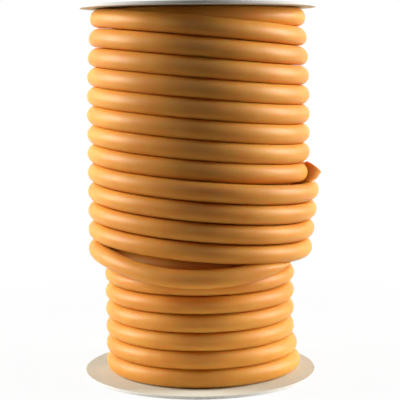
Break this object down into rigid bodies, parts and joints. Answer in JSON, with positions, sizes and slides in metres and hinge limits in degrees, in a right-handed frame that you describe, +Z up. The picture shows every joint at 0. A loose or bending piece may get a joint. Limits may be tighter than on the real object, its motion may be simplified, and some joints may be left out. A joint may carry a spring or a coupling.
{
  "type": "rubber tubing coil on a spool",
  "caption": "Amber rubber tubing wound over itself on a white board spool with round flanges, its lower turns bare and its free end tucked up under the outer layer.",
  "frame": {"origin": "centre of the bottom flange's underside, on the spool's axis", "axes": "+Z up along the spool's axis; -Y towards the viewer of the picture, with the free end at +X"},
  "size_m": [0.1221, 0.12, 0.1892],
  "materials": {
    "board": "matt white board",
    "core_paper": "matt brown paper tube",
    "amber_rubber": "satin natural rubber"
  },
  "bodies": {
    "root": {"bottom_flange": "board", "top_flange": "board", "core_tube": "core_paper", "tubing": "amber_rubber"}
  },
  "joints": []
}
